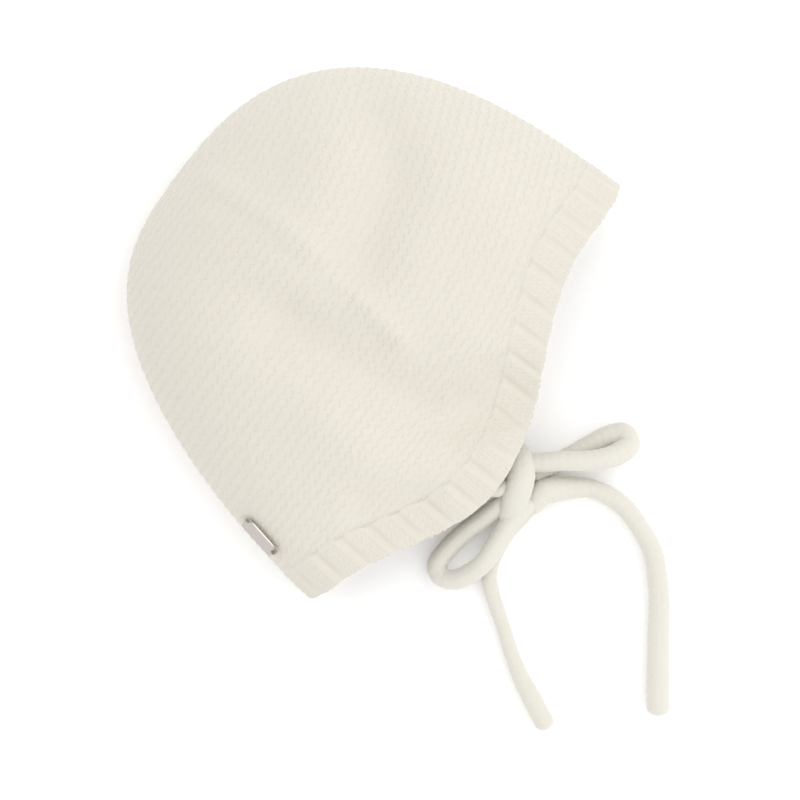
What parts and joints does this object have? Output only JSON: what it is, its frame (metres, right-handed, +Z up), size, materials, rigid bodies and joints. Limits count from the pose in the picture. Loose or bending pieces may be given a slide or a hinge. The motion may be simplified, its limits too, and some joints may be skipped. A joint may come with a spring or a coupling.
{
  "type": "knitted baby bonnet",
  "caption": "Soft knitted baby bonnet lying on its side, with a hollow crown, a ribbed band round the opening and knitted ties in a bow.",
  "frame": {"origin": "on the surface it lies on, under the middle of the bonnet without its ties", "axes": "+X towards the forehead fold, +Y towards the top of the crown, +Z up from the surface; the opening faces -Y"},
  "size_m": [0.175, 0.2443, 0.0471],
  "materials": {
    "garter_knit": "soft ivory garter-stitch knit",
    "rib_knit": "soft ivory two by two rib knit",
    "tie_knit": "soft ivory knitted cord",
    "plate_metal": "bare brushed plate"
  },
  "bodies": {
    "root": {"crown": "garter_knit", "rim_band": "rib_knit", "metal_plate": "plate_metal", "near_tie_lead": "tie_knit", "far_tie_lead": "tie_knit", "bow_knot": "tie_knit", "right_bow_loop": "tie_knit", "left_bow_loop": "tie_knit", "right_tail": "tie_knit", "left_tail": "tie_knit"}
  },
  "joints": []
}
